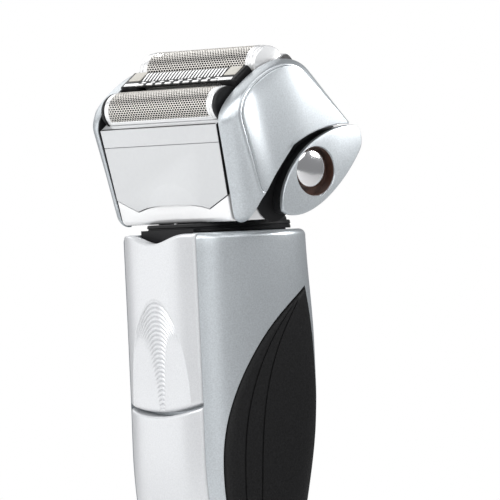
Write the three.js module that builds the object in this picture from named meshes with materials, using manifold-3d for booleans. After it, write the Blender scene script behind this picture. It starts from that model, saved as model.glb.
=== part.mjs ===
// A cordless foil shaver: a hand-held body with rubber side grips, a pop-up hair trimmer on its back,
// and a pivoting head that carries a removable cassette of two foils and a middle trimmer.
// Millimetres. +Z runs up the body, -Y is the front with the power button, +Y is the back with the trimmer.
// The origin is on the flat foot, under the body's axis.
import * as THREE from "three";
import { mergeVertices } from "three/addons/utils/BufferGeometryUtils.js";
import Module from "manifold-3d";

const wasm = await Module();
wasm.setup();

// Driving dimensions of the body
const BODY_TOP = 110;
const BODY_FOOT = 4.4; // the housing starts here, above the bottom cap
const SECTION_POWER = 3; // how square the body's section is
const WALL = 2.8;
const GAP = 0.3; // between neighbours that look as if they touch
const PANEL_HALF = 15.5; // half the width of the trimmer slider and the rear cover
const PANEL_FLOOR = 15; // Y of the wall behind the slider
const PANEL_SPLIT = 67; // height of the joint between slider and rear cover, at its ends
const COVER_LOW = 14.6; // lower edge of the rear cover, at its ends
const CONSOLE_HALF = 9.5;

// Driving dimensions of the head, in its own frame: origin on the pivot, +Y to the back, +Z to the foils
const PIVOT_Y = -8;
const PIVOT_Z = 123;
const REST_TILT = 38; // degrees that the foils lean to the back at rest
const CASSETTE_HALF = 25.2;
const CHEEK_IN = 26.2; // inner face of each cheek
const CHEEK_OUT = 31.6;
const TAPER = 0.003; // the head narrows by this share per millimetre below TAPER_FROM
const TAPER_FROM = 26;
const FOIL_Y = [3.7, -12.5]; // rear and front foil
const FOIL_Z = 27; // centre of the foils' arch
const FOIL_R = 4.8;
const FOIL_HALF = 23.5;
const MIDDLE_Y = (FOIL_Y[0] + FOIL_Y[1]) / 2;

const paint = (color, roughness, metalness) => new THREE.MeshStandardMaterial({ color, roughness, metalness });
const MATERIALS = {
  silver: paint(0xbfc4c9, 0.38, 0.7),
  gloss: paint(0xe4e6e8, 0.12, 0.8),
  black: paint(0x17181a, 0.5, 0),
  rubber: paint(0x1c1d20, 0.85, 0),
  steel: paint(0xb8b9ba, 0.25, 1),
  foil: paint(0xc9c6bd, 0.3, 1),
  copper: paint(0xb8733a, 0.4, 0.9),
  battery: paint(0x3f6fa0, 0.45, 0),
  board: paint(0x1f5a3c, 0.5, 0),
  glass: paint(0x101418, 0.08, 0),
  brass: paint(0xcfae5a, 0.3, 1),
};

// ---- solids ----------------------------------------------------------------------------------------------------

function solid(source) {
  const bare = new THREE.BufferGeometry();
  bare.setAttribute("position", source.getAttribute("position").clone());
  if (source.index) bare.setIndex(source.index.clone());
  const merged = mergeVertices(bare, 1e-4);
  const triVerts = new Uint32Array(merged.index.array);
  const build = () =>
    new wasm.Manifold(new wasm.Mesh({ numProp: 3, vertProperties: merged.attributes.position.array, triVerts }));
  const made = build();
  if (made.volume() > 0) return made;
  for (let i = 0; i < triVerts.length; i += 3) [triVerts[i + 1], triVerts[i + 2]] = [triVerts[i + 2], triVerts[i + 1]];
  return build();
}

function geometryOf(manifold) {
  const { vertProperties, triVerts, numProp } = manifold.getMesh();
  const count = vertProperties.length / numProp;
  const position = new Float32Array(count * 3);
  for (let i = 0; i < count; i++) position.set(vertProperties.subarray(i * numProp, i * numProp + 3), i * 3);
  const made = new THREE.BufferGeometry();
  made.setAttribute("position", new THREE.BufferAttribute(position, 3));
  made.setIndex(new THREE.BufferAttribute(triVerts, 1));
  return made;
}

// A solid through a stack of rings of equal count, each end closed by a fan about its middle.
function loft(rings) {
  const count = rings[0].length;
  const middle = (ring) => [0, 1, 2].map((k) => ring.reduce((sum, p) => sum + p[k], 0) / count);
  const points = [...rings.flat(), middle(rings[0]), middle(rings.at(-1))];
  const bottom = points.length - 2;
  const top = points.length - 1;
  const last = (rings.length - 1) * count;
  const index = [];
  for (let i = 0; i < count; i++) {
    const next = (i + 1) % count;
    for (let r = 0; r < rings.length - 1; r++) {
      const a = r * count;
      index.push(a + i, a + next, a + count + next, a + i, a + count + next, a + count + i);
    }
    index.push(bottom, next, i, top, last + i, last + next);
  }
  const made = new THREE.BufferGeometry();
  made.setAttribute("position", new THREE.Float32BufferAttribute(points.flat(), 3));
  made.setIndex(index);
  return solid(made);
}

const polygon = (points) => new THREE.Shape(points.map(([x, y]) => new THREE.Vector2(x, y)));

// A shape drawn in (y, z) and pushed along X from x0 to x1.
function alongX(shape, x0, x1, curveSegments = 8) {
  const made = new THREE.ExtrudeGeometry(shape, { depth: x1 - x0, bevelEnabled: false, curveSegments });
  const toX = new THREE.Matrix4().makeBasis(
    new THREE.Vector3(0, 1, 0),
    new THREE.Vector3(0, 0, 1),
    new THREE.Vector3(1, 0, 0),
  );
  return solid(made.applyMatrix4(toX).translate(x0, 0, 0));
}

// A shape drawn in (x, z) and pushed along Y from y0 to y1.
function alongY(shape, y0, y1, curveSegments = 8) {
  const made = new THREE.ExtrudeGeometry(shape, { depth: y1 - y0, bevelEnabled: false, curveSegments });
  return solid(made.rotateX(Math.PI / 2).translate(0, y1, 0));
}

// A shape drawn in (x, y) and pushed along Z from z0 to z1.
function alongZ(shape, z0, z1, curveSegments = 8) {
  const made = new THREE.ExtrudeGeometry(shape, { depth: z1 - z0, bevelEnabled: false, curveSegments });
  return solid(made.translate(0, 0, z0));
}

function box(x0, x1, y0, y1, z0, z1) {
  const made = new THREE.BoxGeometry(x1 - x0, y1 - y0, z1 - z0);
  return solid(made.translate((x0 + x1) / 2, (y0 + y1) / 2, (z0 + z1) / 2));
}

// A cylinder between two ends along an axis, centred on the other two coordinates.
function rod(axis, radius, from, to, [a, b], sides = 24) {
  const made = new THREE.CylinderGeometry(radius, radius, to - from, sides);
  const middle = (from + to) / 2;
  if (axis === "x") return solid(made.rotateZ(Math.PI / 2).translate(middle, a, b));
  if (axis === "y") return solid(made.translate(a, middle, b));
  return solid(made.rotateX(Math.PI / 2).translate(a, b, middle));
}

// A rectangle with round corners, as a shape centred on (cx, cy).
function roundRect(cx, cy, halfWidth, halfHeight, radius) {
  const shape = new THREE.Shape();
  const quarter = Math.PI / 2;
  const right = cx + halfWidth - radius;
  const left = cx - halfWidth + radius;
  const high = cy + halfHeight - radius;
  const low = cy - halfHeight + radius;
  shape.absarc(right, high, radius, 0, quarter);
  shape.absarc(left, high, radius, quarter, 2 * quarter);
  shape.absarc(left, low, radius, 2 * quarter, 3 * quarter);
  shape.absarc(right, low, radius, 3 * quarter, 4 * quarter);
  return shape;
}

// A screw with a round head at its lower end and its shank going up.
function screw(x, y, z, length) {
  const head = 1.9;
  const shank = 1;
  const profile = [[0, 0], [head, 0], [head, 1.2], [shank, 1.5], [shank, length], [0, length]];
  const made = new THREE.LatheGeometry(profile.map(([r, h]) => new THREE.Vector2(r, h)), 16);
  return solid(made.rotateX(Math.PI / 2)).subtract(box(-1.3, 1.3, -0.25, 0.25, -1, 0.5)).translate([x, y, z]);
}

// ---- the body's outer form --------------------------------------------------------------------------------------

const clamp01 = (t) => Math.min(1, Math.max(0, t));
const smooth = (t) => clamp01(t) ** 2 * (3 - 2 * clamp01(t));
const halfWidthAt = (z) => 18.5 + 3.5 * smooth(z / 60);
const backAt = (z) => 15.5 + 4.5 * smooth(z / 55);
const frontAt = (z) => -(13.5 + 8 * smooth((z - 20) / 50) - 1.5 * smooth((z - 80) / 30));

// A ring of the body at height z, drawn in by inset all round.
function bodyRing(z, inset, at = z, sides = 40) {
  const half = halfWidthAt(at) - inset;
  const back = backAt(at) - inset;
  const front = frontAt(at) + inset;
  const depth = (back - front) / 2;
  const power = 2 / SECTION_POWER;
  return Array.from({ length: sides }, (_, i) => {
    const angle = (2 * Math.PI * (i + 0.5)) / sides;
    const c = Math.cos(angle);
    const s = Math.sin(angle);
    const x = half * Math.sign(c) * Math.abs(c) ** power;
    const y = (front + back) / 2 + depth * Math.sign(s) * Math.abs(s) ** power;
    return [x, y, z];
  });
}

// The body's form from z0 to z1, drawn in by inset, with its sides following the outer form.
function bodyForm(inset, z0, z1, levels = [20, 35, 50, 65, 80, 95]) {
  const heights = [z0, ...levels.filter((z) => z > z0 + 2 && z < z1 - 2), z1];
  return loft(heights.map((z) => bodyRing(z, inset)));
}

// The leaf-shaped outline of a side grip in (y, z), grown by margin.
function gripOutline(margin) {
  const shape = new THREE.Shape();
  shape.moveTo(-13 - margin * 0.5, 95 + margin * 1.6);
  shape.bezierCurveTo(2 + margin, 86 + margin, 13.7 + margin, 71, 13.7 + margin, 51);
  shape.bezierCurveTo(13.7 + margin, 34, 8.5 + margin, 22, -1, 15.5 - margin);
  shape.bezierCurveTo(-8, 20 - margin, -12.2 - margin, 30, -14.6 - margin, 45);
  shape.bezierCurveTo(-17 - margin, 60, -17.2 - margin, 80, -13 - margin * 0.5, 95 + margin * 1.6);
  return shape;
}

// The outline of the rear panels in (x, z): a dip for the fingertip at the top and a bowed lower edge.
function panelOutline(low, high, half, dip) {
  const bow = 2.2;
  const shape = new THREE.Shape();
  shape.moveTo(-half, low);
  shape.quadraticCurveTo(0, low - 2 * bow, half, low);
  shape.lineTo(half, high);
  if (dip > 0) {
    shape.lineTo(12, high);
    shape.bezierCurveTo(7, high, 7, high - dip, 0, high - dip);
    shape.bezierCurveTo(-7, high - dip, -7, high, -12, high);
  } else {
    shape.quadraticCurveTo(0, high - 2 * bow, -half, high);
  }
  shape.lineTo(-half, high);
  return shape;
}

// ---- body pieces -------------------------------------------------------------------------------------------------

const SOCKET_Y = 6.6;
const SOCKET_HALF = [5.2, 3.2];
const CAP_SCREW_X = 13;
// The notch behind the fingertip dip, which the neck collar's tongue fills.
const NOTCH = { half: 11.7, front: 9, low: 106.4 };
const BATTERY = { radius: 6.9, y: 6.2, low: 16, high: 66 };
const POWER = { z: 84, radius: 7.2 };
const KEYS = { minus: 64.5, plus: 55.5, halfWidth: 4.6, halfHeight: 2.6 };
const WINDOW = { z: 36, halfWidth: 6, halfHeight: 9 };
const BACK = 30; // further back than anything
const SIDE = 40; // further out than anything

function housing() {
  const rounded = [...bodyRings(BODY_FOOT, BODY_TOP - 2.2), bodyRing(BODY_TOP - 0.7, 0.7), bodyRing(BODY_TOP, 2.2)];
  const cavity = bodyForm(WALL, BODY_FOOT - 1, BODY_TOP - 1.8).intersect(box(-SIDE, SIDE, -SIDE, 13.3, 0, BODY_TOP));
  const neckHole = alongZ(roundRect(0, -4, 13, 12.2, 5), BODY_TOP - 4, BODY_TOP + 1);
  const notch = box(-NOTCH.half, NOTCH.half, NOTCH.front, PANEL_FLOOR + 0.5, NOTCH.low, BODY_TOP + 1);
  const slot = alongY(panelOutline(COVER_LOW - GAP, BODY_TOP + 10, PANEL_HALF + GAP, 0), PANEL_FLOOR, BACK);
  const skin = bodyForm(-3, 2, BODY_TOP + 2);
  const gripPocket = alongX(gripOutline(GAP), -SIDE, SIDE).intersect(skin).subtract(bodyForm(1.6, 2, BODY_TOP + 2));
  const consolePocket = alongY(roundRect(0, 60, CONSOLE_HALF + GAP, 40 + GAP, 7), -BACK, 0)
    .intersect(skin)
    .subtract(bodyForm(1.9, 2, BODY_TOP + 2));
  return loft(rounded)
    .subtract(cavity)
    .subtract(neckHole)
    .subtract(notch)
    .subtract(slot)
    .subtract(gripPocket)
    .subtract(consolePocket);
}

function bodyRings(z0, z1) {
  return [z0, 20, 35, 50, 65, 80, 95, z1].map((z) => bodyRing(z, 0));
}

function grip(side) {
  const half = side > 0 ? box(0, SIDE, -SIDE, SIDE, 0, BODY_TOP) : box(-SIDE, 0, -SIDE, SIDE, 0, BODY_TOP);
  const pad = alongX(gripOutline(0), -SIDE, SIDE).intersect(bodyForm(-0.8, 2, BODY_TOP));
  return pad.subtract(bodyForm(1.3, 1, BODY_TOP + 1)).intersect(half);
}

function rearPanel(low, high, dip) {
  const outline = alongY(panelOutline(low, high, PANEL_HALF, dip), PANEL_FLOOR + GAP, BACK);
  return outline.intersect(bodyForm(0, 2, BODY_TOP + 2)).subtract(bodyForm(1.5, 1, BODY_TOP + 3));
}

// A row of pointed teeth in (x, z) standing on a plate.
function toothedPlate(half, low, root, tip, pitch) {
  const points = [[-half, low], [half, low], [half, tip]];
  const count = Math.floor((2 * half) / pitch);
  for (let i = 0; i < count; i++) {
    const x = half - i * pitch;
    points.push([x - pitch * 0.35, tip], [x - pitch * 0.45, root], [x - pitch * 0.9, root], [x - pitch, tip]);
  }
  points.push([-half, tip]);
  return polygon(points.filter((p, i) => i === 0 || p[0] !== points[i - 1][0] || p[1] !== points[i - 1][1]));
}

function frontConsole() {
  const slab = alongY(roundRect(0, 60, CONSOLE_HALF, 40, 6.7), -BACK, 0)
    .intersect(bodyForm(-0.25, 2, BODY_TOP))
    .subtract(bodyForm(1.6, 1, BODY_TOP + 1));
  let made = slab.subtract(rod("y", POWER.radius + GAP, -BACK, 0, [0, POWER.z], 28));
  for (const z of [KEYS.minus, KEYS.plus]) {
    made = made.subtract(alongY(roundRect(0, z, KEYS.halfWidth + GAP, KEYS.halfHeight + GAP, 2.5), -BACK, 0));
  }
  return made.subtract(alongY(roundRect(0, WINDOW.z, WINDOW.halfWidth + GAP, WINDOW.halfHeight + GAP, 2.8), -BACK, 0));
}

function powerButton() {
  const face = frontAt(POWER.z);
  const made = rod("y", POWER.radius, face - 0.9, face + 0.7, [0, POWER.z], 28);
  return made.subtract(rod("y", POWER.radius - 2.4, face - 2, face - 0.6, [0, POWER.z], 24));
}

function key(z) {
  const face = frontAt(z);
  return alongY(roundRect(0, z, KEYS.halfWidth, KEYS.halfHeight, 2.4), face - 0.7, face + 0.7);
}

function displayWindow() {
  return alongY(roundRect(0, WINDOW.z, WINDOW.halfWidth, WINDOW.halfHeight, 2.5), -BACK, 0)
    .intersect(bodyForm(-0.3, 2, BODY_TOP))
    .subtract(bodyForm(1.2, 1, BODY_TOP + 1));
}

function bottomCap() {
  const rings = [bodyRing(0, 2.4), bodyRing(0.7, 0.8), bodyRing(2, 0), bodyRing(BODY_FOOT - GAP, 0)];
  const plug = bodyForm(WALL + GAP, 3, 9);
  const mouth = alongZ(roundRect(0, SOCKET_Y, ...SOCKET_HALF, 2.6), -1, 10);
  let made = loft(rings).add(plug).subtract(mouth);
  for (const side of [-1, 1]) {
    made = made
      .subtract(rod("z", 2.2, -1, 2.6, [side * CAP_SCREW_X, 0], 20))
      .subtract(rod("z", 1.3, -1, 12, [side * CAP_SCREW_X, 0], 16))
      .subtract(rod("z", 2.1, -1, 1.2, [side * 5.5, -6], 20));
  }
  return made.intersect(box(-SIDE, SIDE, -SIDE, 13, 0, 9).add(box(-SIDE, SIDE, -SIDE, SIDE, 0, BODY_FOOT - GAP)));
}

function innerFrame() {
  const plate = box(-14.8, 14.8, -2.6, -1.2, 12, 99);
  const rails = [-1, 1].map((side) => box(side * 14.2 - 0.8, side * 14.2 + 0.8, -5.5, 4, 20, 99));
  const head = box(-14, 14, -12, 4, 96.5, 99);
  const feet = [-1, 1].map((side) => rod("z", 2.6, 9.4, 15, [side * CAP_SCREW_X, 0], 16));
  const bores = [-1, 1].map((side) => rod("z", 1.3, 9, 14, [side * CAP_SCREW_X, 0], 16));
  const made = [...rails, head, ...feet].reduce((whole, piece) => whole.add(piece), plate);
  return bores.reduce((whole, piece) => whole.subtract(piece), made);
}

function battery() {
  const { radius, y, low, high } = BATTERY;
  return rod("z", radius, low, high - 1.2, [0, y], 28).add(rod("z", 2.6, low, high, [0, y], 20));
}

function circuitBoard() {
  const board = alongY(roundRect(0, 56, 13, 38, 2), -5, -3.7);
  const chips = [box(-9, -2, -6.2, -4.8, 68, 75), box(3, 9, -5.8, -4.8, 44, 50), box(-8, 8, -6, -4.8, 24, 30)];
  return chips.reduce((whole, chip) => whole.add(chip), board);
}

// ---- neck --------------------------------------------------------------------------------------------------------

const BRACKET = { halfX: 10.2, radius: 7.2 };

function neckBracket() {
  const { halfX, radius } = BRACKET;
  const post = box(-halfX, halfX, PIVOT_Y - radius, PIVOT_Y + radius, 99.4, PIVOT_Z);
  const made = post.add(rod("x", radius, -halfX, halfX, [PIVOT_Y, PIVOT_Z], 28));
  return made.subtract(rod("x", 2.3, -SIDE, SIDE, [PIVOT_Y, PIVOT_Z], 20));
}

function neckCollar() {
  const stack = [
    [BODY_TOP + GAP, 15.3, -17.2, 14.2],
    [111.7, 15.3, -17.2, 14.2],
    [112, 15, -17, 13.8],
    [112.2, 13.4, -16.6, 5.4],
    [113.2, 13.2, -16.5, 4.2],
    [113.6, 12.2, -16.3, 2],
    [115, 11.6, -16.2, 0.4],
  ];
  const ring = ([z, half, front, back]) =>
    Array.from({ length: 32 }, (_, i) => {
      const angle = (2 * Math.PI * (i + 0.5)) / 32;
      const c = Math.cos(angle);
      const s = Math.sin(angle);
      const x = half * Math.sign(c) * Math.abs(c) ** 0.5;
      return [x, (front + back) / 2 + ((back - front) / 2) * Math.sign(s) * Math.abs(s) ** 0.5, z];
    });
  const { halfX, radius } = BRACKET;
  const hole = box(-halfX - GAP, halfX + GAP, PIVOT_Y - radius - GAP, PIVOT_Y + radius + GAP, BODY_TOP, 120);
  const tongue = box(
    -NOTCH.half + GAP,
    NOTCH.half - GAP,
    NOTCH.front + GAP,
    PANEL_FLOOR - GAP,
    NOTCH.low + GAP,
    BODY_TOP + 1,
  );
  return loft(stack.map(ring)).add(tongue).subtract(hole);
}

// ---- head pieces, in the head's frame ------------------------------------------------------------------------------

// The head's side outline in (y, z): sloping back, rounded underside, near upright front, open top.
function headOutline() {
  const shape = new THREE.Shape();
  shape.moveTo(10.6, 26.1);
  shape.lineTo(21.4, 4.9);
  shape.quadraticCurveTo(21.9, 3.4, 20.2, 2.6);
  shape.bezierCurveTo(14, -2, 9, -7.4, 0, -7.4);
  shape.bezierCurveTo(-9, -7.4, -20.6, -6.4, -20.4, -0.6);
  shape.lineTo(-18.9, 23.6);
  shape.quadraticCurveTo(-18.8, 26.1, -16.6, 26.1);
  shape.lineTo(10.6, 26.1);
  return shape;
}

// The hollow inside the head's walls, running out of its top.
function headHollow(x) {
  const shape = new THREE.Shape();
  shape.moveTo(8.3, 30);
  shape.lineTo(8.3, 27);
  shape.lineTo(19.6, 5);
  shape.bezierCurveTo(12.6, -0.6, 8, -5.8, 0, -5.8);
  shape.bezierCurveTo(-8, -5.8, -18.9, -5, -18.9, 0);
  shape.lineTo(-17.6, 24);
  shape.lineTo(-17.6, 30);
  return alongX(shape, -x, x, 5);
}

// The joint line between cassette and head base in (x, z), with angled corners and a bow in the middle.
function cassetteRegion(margin) {
  const low = 6.6 - margin;
  const shape = new THREE.Shape();
  shape.moveTo(-SIDE, 60);
  shape.lineTo(-SIDE, 9.4 - margin);
  shape.lineTo(-CASSETTE_HALF + 0.2, 9.4 - margin);
  shape.lineTo(-16.4, low);
  shape.quadraticCurveTo(0, low + 3.2, 16.4, low);
  shape.lineTo(CASSETTE_HALF - 0.2, 9.4 - margin);
  shape.lineTo(SIDE, 9.4 - margin);
  shape.lineTo(SIDE, 60);
  return alongY(shape, -SIDE, SIDE, 6);
}

function cassetteFrame() {
  const walls = alongX(headOutline(), -CASSETTE_HALF, CASSETTE_HALF, 5).subtract(headHollow(CASSETTE_HALF - 1));
  const belowEnds = box(-SIDE, SIDE, -15.6, 10.5, -10, 12);
  return walls.intersect(cassetteRegion(0)).subtract(belowEnds);
}

function headBase() {
  const tub = alongX(headOutline(), -CASSETTE_HALF, CASSETTE_HALF, 6).subtract(headHollow(CASSETTE_HALF - 1.6));
  const neckSlot = alongZ(roundRect(0, 3.3, 16, 14.2, 3), -20, 3.4);
  const bore = rod("x", 2.3, -SIDE, SIDE, [0, 0], 20);
  return tub.subtract(cassetteRegion(GAP)).subtract(neckSlot).subtract(bore);
}

// The cheek's outline in (y, z), on its inner face (share 0) or round its outer face (share 1).
function cheekOutline(share) {
  const mix = (a, b) => a + (b - a) * share;
  const at = (y0, z0, y1, z1) => [mix(y0, y1), mix(z0, z1)];
  const shape = new THREE.Shape();
  shape.moveTo(...at(-21.4, 1.2, -19.7, 1));
  shape.lineTo(...at(-19.6, 18.6, -16.5, 20.4));
  shape.bezierCurveTo(...at(-18.8, 26.6, -15.6, 26.6), ...at(-11, 29.5, -9.8, 29.1), ...at(-2, 29.5, -2.1, 29.2));
  shape.bezierCurveTo(...at(5, 29.6, 3.5, 29.3), ...at(9.4, 28.6, 6.8, 28.1), ...at(11, 25.6, 8.1, 24.6));
  shape.lineTo(...at(21, 5.6, 13.6, 8));
  shape.quadraticCurveTo(...at(22.2, 3, 14.7, 5.3), ...at(19.6, 1.6, 13.2, 4.7));
  shape.bezierCurveTo(...at(14.6, 4.4, 10.8, 6.8), ...at(10.4, 8.8, 7.4, 8.7), ...at(2, 8.8, 1.5, 8.6));
  shape.bezierCurveTo(...at(-6, 8.8, -6, 8.6), ...at(-12, 7, -11.5, 6.6), ...at(-18.6, 3.4, -17.4, 3));
  shape.lineTo(...at(-21.4, 1.2, -19.7, 1));
  return shape;
}

function ringAt(shape, x, segments = 6) {
  const points = shape.getPoints(segments);
  if (points[0].distanceTo(points.at(-1)) < 1e-6) points.pop();
  return points.map((p) => [x, p.x, p.y]);
}

// The cheek with its outer face, before the release button is parted from it.
function cheekForm() {
  return loft([
    ringAt(cheekOutline(0), CHEEK_IN),
    ringAt(cheekOutline(0.12), CHEEK_IN + 2.4),
    ringAt(cheekOutline(0.86), CHEEK_OUT - 0.8),
    ringAt(cheekOutline(1), CHEEK_OUT),
  ]);
}

// The button's seat stops short of the outer face's edge at the top and back, and runs out past it in front and below.
function buttonSeat(inset, from) {
  const shape = new THREE.Shape();
  shape.moveTo(-30, 28.4 - inset);
  shape.lineTo(-2, 28.4 - inset);
  shape.quadraticCurveTo(5.4 - inset, 28.4 - inset, 6.8 - inset, 24.4);
  shape.lineTo(12.4 - inset, 8);
  shape.lineTo(16.8 - inset, -5);
  shape.lineTo(-30, -5);
  return alongX(shape, from, CHEEK_OUT + 1, 8);
}

const cheek = () => cheekForm().subtract(buttonSeat(0, CHEEK_OUT - 2.3));
const releaseButton = () => cheekForm().intersect(buttonSeat(0.3, CHEEK_OUT - 1.3));

// The egg-shaped cap over the pivot, below the cheek.
function hubOutline() {
  const shape = new THREE.Shape();
  shape.moveTo(-20.8, -0.2);
  shape.bezierCurveTo(-17.8, 2.9, -10.8, 5.3, -5.5, 5.3);
  shape.bezierCurveTo(1.5, 5.3, 8.5, 2.2, 10.5, -2.5);
  shape.bezierCurveTo(9.5, -6.5, 3.5, -9.3, -4, -9.3);
  shape.bezierCurveTo(-10, -9.3, -15, -8, -18.6, -6.6);
  shape.bezierCurveTo(-21.4, -5.4, -22.4, -1.8, -20.8, -0.2);
  return shape;
}

const LOCK = { y: -3.9, z: -1.4, recess: 6.2, knob: 5, rest: 1 };

function hubCap(withRecess) {
  const cap = alongX(hubOutline(), CHEEK_IN - 0.2, CHEEK_OUT - 0.3, 8);
  if (!withRecess) return cap;
  return cap.subtract(rod("x", LOCK.recess, CHEEK_IN + 1.2, SIDE, [LOCK.y, LOCK.z], 32));
}

function lockKnob() {
  const at = [LOCK.y, LOCK.z + LOCK.rest];
  const dome = new THREE.SphereGeometry(9, 28, 20).translate(CHEEK_IN + 4.6 - 9, ...at);
  return rod("x", LOCK.knob, CHEEK_IN + 1.5, CHEEK_OUT, at, 28).intersect(solid(dome));
}

function sideGasket() {
  const outline = roundRect(-2.4, 1.8, 16, 7.8, 5);
  const plate = alongX(outline, CASSETTE_HALF + 0.2, CHEEK_IN - 0.5, 4);
  return plate.subtract(rod("x", 2.3, 0, SIDE, [0, 0], 20));
}

function driveDeck() {
  const plate = box(-21.4, 21.4, -17.2, 13, 8.5, 10);
  const posts = [-1, 1].flatMap((side) => [6.5, -15].map((y) => rod("z", 1.4, 9, 15, [side * 19.4, y], 12)));
  return posts.reduce((whole, post) => whole.add(post), plate);
}

function motorStator() {
  const legs = [-13, 0, 13].map((x) => box(x - 2.2, x + 2.2, -13, 4.8, 10.3, 15.4));
  return legs.reduce((whole, leg) => whole.add(leg), box(-15.2, 15.2, -13, 4.8, 10.3, 12));
}

function motorCoil(side) {
  const winding = alongZ(roundRect(side * 6.5, MIDDLE_Y, 3.7, 10.6, 1.6), 12.4, 15, 4);
  return winding.subtract(box(side * 6.5 - 1.6, side * 6.5 + 1.6, MIDDLE_Y - 8.2, MIDDLE_Y + 8.2, 12, 16));
}

// A magnet carriage and the pin that drives one cutter.
function armature(y) {
  const plate = box(-16, 16, y - 3.6, y + 3.6, 15.9, 18.2);
  const magnets = [-1, 1].map((side) => box(side * 8 - 4.4, side * 8 + 4.4, y - 3, y + 3, 17.8, 19.4));
  const pin = rod("z", 1.2, 17, 24.8, [0, y], 14);
  return [...magnets, pin].reduce((whole, piece) => whole.add(piece), plate);
}

// A coil spring round a drive pin.
function pinSpring(y) {
  const turns = 4;
  class Helix extends THREE.Curve {
    getPoint(t, target = new THREE.Vector3()) {
      const angle = 2 * Math.PI * turns * t;
      return target.set(2.2 * Math.cos(angle), y + 2.2 * Math.sin(angle), 18.9 + 4 * t);
    }
  }
  const section = new THREE.Shape().absarc(0, 0, 0.3, 0, 2 * Math.PI);
  const made = new THREE.ExtrudeGeometry(section, {
    steps: turns * 10,
    extrudePath: new Helix(),
    curveSegments: 3,
  });
  return solid(made);
}

// The arch of a foil in (y, z) about its own middle.
function archOutline(radius, foot) {
  const shape = new THREE.Shape();
  shape.moveTo(radius, foot);
  shape.absarc(0, FOIL_Z, radius, 0, Math.PI);
  shape.lineTo(-radius, foot);
  return shape;
}

function foil(y) {
  const outer = alongX(archOutline(FOIL_R, 23), -FOIL_HALF, FOIL_HALF, 7);
  const inner = alongX(archOutline(FOIL_R - 0.5, 20), -FOIL_HALF + 0.9, FOIL_HALF - 0.9, 7);
  return outer.subtract(inner).translate([0, y, 0]);
}

function cutterBlock(y) {
  const block = alongX(archOutline(FOIL_R - 0.85, 25.2), -20.6, 20.6, 7);
  const pinSlot = box(-2.4, 2.4, -1.7, 1.7, 20, 28.4);
  return block.subtract(pinSlot).translate([0, y, 0]);
}

function middleCarrier() {
  const half = 3;
  const bar = box(-23, 23, MIDDLE_Y - half, MIDDLE_Y + half, 21, 26.4);
  const ends = [-1, 1].map((side) => {
    const tower = box(side * 21 - 2.6, side * 21 + 2.6, MIDDLE_Y - half, MIDDLE_Y + half, 26, 30.9);
    return tower.add(box(side * 24 - 1, side * 24 + 1, MIDDLE_Y - half, MIDDLE_Y + half, 27.8, 30.9));
  });
  return ends.reduce((whole, end) => whole.add(end), bar);
}

function middleComb() {
  const bend = new THREE.Shape();
  bend.moveTo(-3.1, 28.9);
  bend.quadraticCurveTo(-2.9, 31.1, 0, 31.1);
  bend.quadraticCurveTo(2.9, 31.1, 3.1, 28.9);
  bend.lineTo(2.5, 28.9);
  bend.quadraticCurveTo(2.4, 30.4, 0, 30.4);
  bend.quadraticCurveTo(-2.4, 30.4, -2.5, 28.9);
  let made = alongX(bend, -18, 18, 4);
  const slots = 11;
  for (let i = 0; i < slots; i++) {
    const x = (i - (slots - 1) / 2) * 3;
    made = made.subtract(box(x - 0.7, x + 0.7, -2, 5, 27, 32));
  }
  return made.translate([0, MIDDLE_Y, 0]);
}

const middleBlade = () => box(-16.4, 16.4, MIDDLE_Y - 1.8, MIDDLE_Y + 1.8, 26.8, 29.6);

// Narrows a head piece towards the pivot, as its moulding is.
function narrowed(manifold) {
  return manifold.warp((v) => {
    v[0] *= 1 - TAPER * (TAPER_FROM - Math.min(v[2], TAPER_FROM));
  });
}

// ---- assembly ----------------------------------------------------------------------------------------------------

const shaver = new THREE.Group();
const head = new THREE.Group();
head.position.set(0, PIVOT_Y, PIVOT_Z);
head.rotation.x = THREE.MathUtils.degToRad(-REST_TILT);
shaver.add(head);

function place(parent, name, material, manifold) {
  const mesh = new THREE.Mesh(geometryOf(manifold), MATERIALS[material]);
  mesh.name = name;
  parent.add(mesh);
}

const mirrorX = (manifold) => manifold.mirror([1, 0, 0]);
const windowFace = frontAt(WINDOW.z);

place(shaver, "body_housing", "silver", housing());
place(shaver, "grip_left", "rubber", grip(1));
place(shaver, "grip_right", "rubber", grip(-1));
place(shaver, "rear_cover", "silver", rearPanel(COVER_LOW, PANEL_SPLIT - 1, 0));
place(shaver, "trimmer_slider", "silver", rearPanel(PANEL_SPLIT, BODY_TOP, 2));
place(shaver, "trimmer_comb", "steel", alongY(toothedPlate(11.4, 92, 104.6, 107.4, 1.9), 16.1, 16.8));
place(shaver, "trimmer_blade", "steel", alongY(toothedPlate(10, 94, 104.4, 107, 2.5), 15.3, 15.8));
place(shaver, "front_console", "black", frontConsole());
place(shaver, "power_button", "gloss", powerButton());
place(shaver, "minus_key", "silver", key(KEYS.minus));
place(shaver, "plus_key", "silver", key(KEYS.plus));
place(shaver, "display_window", "glass", displayWindow());
place(shaver, "bottom_cap", "black", bottomCap());
place(shaver, "socket_insert", "black", alongZ(roundRect(0, SOCKET_Y, 4.9, 2.9, 2.3), 6.2, 12));
for (const [side, name] of [[-1, "right"], [1, "left"]]) {
  place(shaver, `socket_pin_${name}`, "brass", rod("z", 0.75, 2, 5.9, [side * 2, SOCKET_Y], 14));
  place(shaver, `charge_contact_${name}`, "brass", rod("z", 1.8, 0.2, 1, [side * 5.5, -6], 18));
  place(shaver, `cap_screw_${name}`, "steel", screw(side * CAP_SCREW_X, 0, 0.7, 12));
}
place(shaver, "inner_frame", "black", innerFrame());
place(shaver, "battery", "battery", battery());
place(shaver, "circuit_board", "board", circuitBoard());
place(shaver, "power_switch", "steel", box(-3, 3, frontAt(POWER.z) + WALL + 2 * GAP, -5.3, POWER.z - 3, POWER.z + 3));
place(shaver, "display_module", "board", box(-5, 5, windowFace + 5, -5.3, WINDOW.z - 5, WINDOW.z + 7));
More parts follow.
